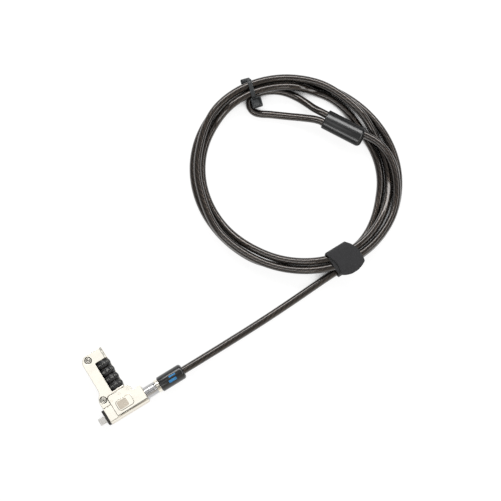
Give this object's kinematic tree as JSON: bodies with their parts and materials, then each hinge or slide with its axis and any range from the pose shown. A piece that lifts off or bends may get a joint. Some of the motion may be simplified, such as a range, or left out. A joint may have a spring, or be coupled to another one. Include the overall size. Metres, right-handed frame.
{
  "type": "laptop cable lock",
  "caption": "L-shaped combination lock head with number wheels, push button and slot tip, on a swivel ferrule and a coiled vinyl-covered steel cable that ends in a crimped eye.",
  "frame": {"origin": "on the flat back of the lock head, under the crossing of the dial axis and the swivel axis", "axes": "+X along the swivel towards the cable, +Y along the dial arm, +Z out of the button's face"},
  "size_m": [0.2829, 0.1633, 0.0167],
  "materials": {
    "satin_nickel": "satin nickel plate on die-cast zinc",
    "bright_chrome": "bright chrome plate",
    "spring_steel": "bare drawn steel",
    "code_brass": "turned brass",
    "wheel_plastic": "black with printed numbers",
    "pad_rubber": "matt black rubber",
    "cover_plastic": "semi-gloss black",
    "tie_nylon": "black nylon",
    "strap_fabric": "black woven hook-and-loop tape",
    "cable_vinyl": "smoky glossy vinyl over black steel strand"
  },
  "bodies": {
    "cable": {"swivel_barrel": "bright_chrome", "retaining_ring": "spring_steel", "ferrule_collar": "satin_nickel", "ferrule_cover": "cover_plastic", "crimp_bush": "spring_steel", "cable_lead": "cable_vinyl", "cable_coil": "cable_vinyl", "cable_eye": "cable_vinyl", "loop_crimp": "spring_steel", "loop_sleeve_cover": "cover_plastic", "bundle_strap": "strap_fabric", "bundle_tie": "tie_nylon"},
    "lock_head": {"housing": "satin_nickel", "arm_cover": "satin_nickel", "rear_plate": "satin_nickel", "cover_screws": "bright_chrome", "end_pad": "pad_rubber", "lock_tip": "bright_chrome", "detent_spring": "spring_steel", "spindle_spring": "spring_steel", "button_springs": "spring_steel"},
    "dial_1": {"number_wheel_1": "wheel_plastic", "code_sleeve_1": "code_brass"},
    "dial_2": {"number_wheel_2": "wheel_plastic", "code_sleeve_2": "code_brass"},
    "dial_3": {"number_wheel_3": "wheel_plastic", "code_sleeve_3": "code_brass"},
    "dial_4": {"number_wheel_4": "wheel_plastic", "code_sleeve_4": "code_brass"},
    "button": {"release_button": "satin_nickel"},
    "pin": {"locking_pin": "bright_chrome"},
    "code_spindle": {"spindle": "spring_steel"},
    "reset": {"reset_screw": "code_brass"}
  },
  "joints": [
    {"name": "head_swivel", "type": "hinge", "parent": "cable", "child": "lock_head", "pos_m": [0.0145, 0, 0.0057], "axis": [1, 0, 0], "continuous": true},
    {"name": "dial_1_turn", "type": "hinge", "parent": "lock_head", "child": "dial_1", "pos_m": [0, 0.016, 0.007], "axis": [0, 1, 0], "continuous": true},
    {"name": "dial_2_turn", "type": "hinge", "parent": "lock_head", "child": "dial_2", "pos_m": [0, 0.02165, 0.007], "axis": [0, 1, 0], "continuous": true},
    {"name": "dial_3_turn", "type": "hinge", "parent": "lock_head", "child": "dial_3", "pos_m": [0, 0.0273, 0.007], "axis": [0, 1, 0], "continuous": true},
    {"name": "dial_4_turn", "type": "hinge", "parent": "lock_head", "child": "dial_4", "pos_m": [0, 0.03295, 0.007], "axis": [0, 1, 0], "continuous": true},
    {"name": "button_push", "type": "slide", "parent": "lock_head", "child": "button", "axis": [0, 0, -1], "range_m": [0, 0.0018], "stiffness_N_per_m": 600, "deforming": ["button_springs"]},
    {"name": "pin_retract", "type": "slide", "parent": "lock_head", "child": "pin", "axis": [1, 0, 0], "range_m": [0, 0.0018]},
    {"name": "spindle_shift", "type": "slide", "parent": "lock_head", "child": "code_spindle", "axis": [0, 1, 0], "range_m": [0, 0.0018], "deforming": ["spindle_spring"]},
    {"name": "reset_turn", "type": "hinge", "parent": "lock_head", "child": "reset", "pos_m": [-0.0067, -0.0045, 0.0044], "axis": [0, 1, 0], "range_deg": [0, 90]}
  ],
  "couplings": [
    {"joint": "pin_retract", "follows": "button_push", "ratio": 1},
    {"joint": "spindle_shift", "follows": "button_push", "ratio": 1}
  ]
}
